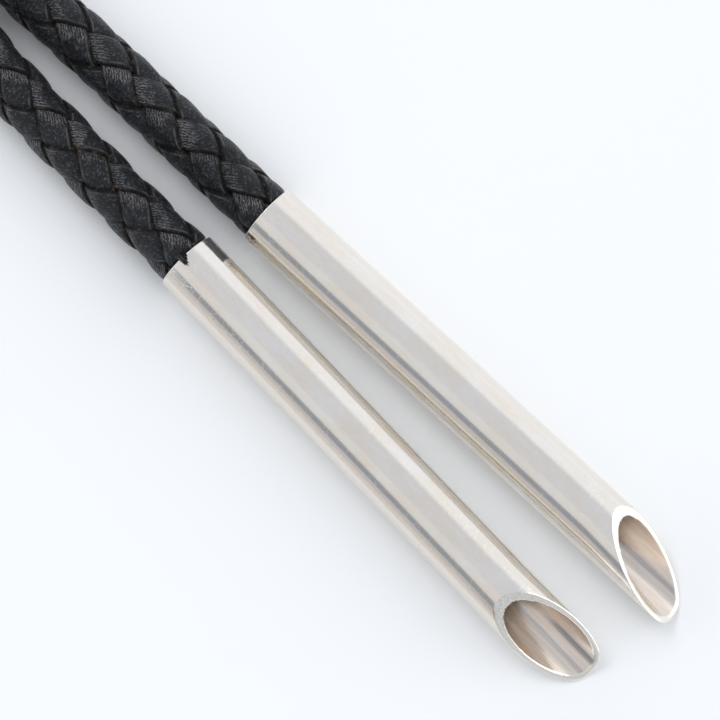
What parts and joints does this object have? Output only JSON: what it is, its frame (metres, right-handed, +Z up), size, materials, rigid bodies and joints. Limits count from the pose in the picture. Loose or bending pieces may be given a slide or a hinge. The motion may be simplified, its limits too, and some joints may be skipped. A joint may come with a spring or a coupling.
{
  "type": "bolo tie",
  "caption": "Bolo tie laid flat: a round braided black leather cord in a neck loop, drawn together by a plain silver slide, with a hollow slant-cut silver tip on each end.",
  "frame": {"origin": "on the surface that the tie lies on, under the middle of its box", "axes": "+Y from the tips to the nape of the neck loop, +Z up from the surface, +X to the wearer's left side, towards tip_right"},
  "size_m": [0.146, 0.4834, 0.0089],
  "materials": {
    "tip_silver": "polished sterling silver tube with fine handling scratches and a light warm tarnish",
    "slide_silver": "polished sterling silver",
    "braided_leather": "eight-strand round braid of black dyed leather lace with a satin wax finish"
  },
  "bodies": {
    "root": {"tip_left": "tip_silver", "tip_right": "tip_silver", "tail_left": "braided_leather", "tail_right": "braided_leather", "slide": "slide_silver", "neck_loop": "braided_leather"}
  },
  "joints": []
}
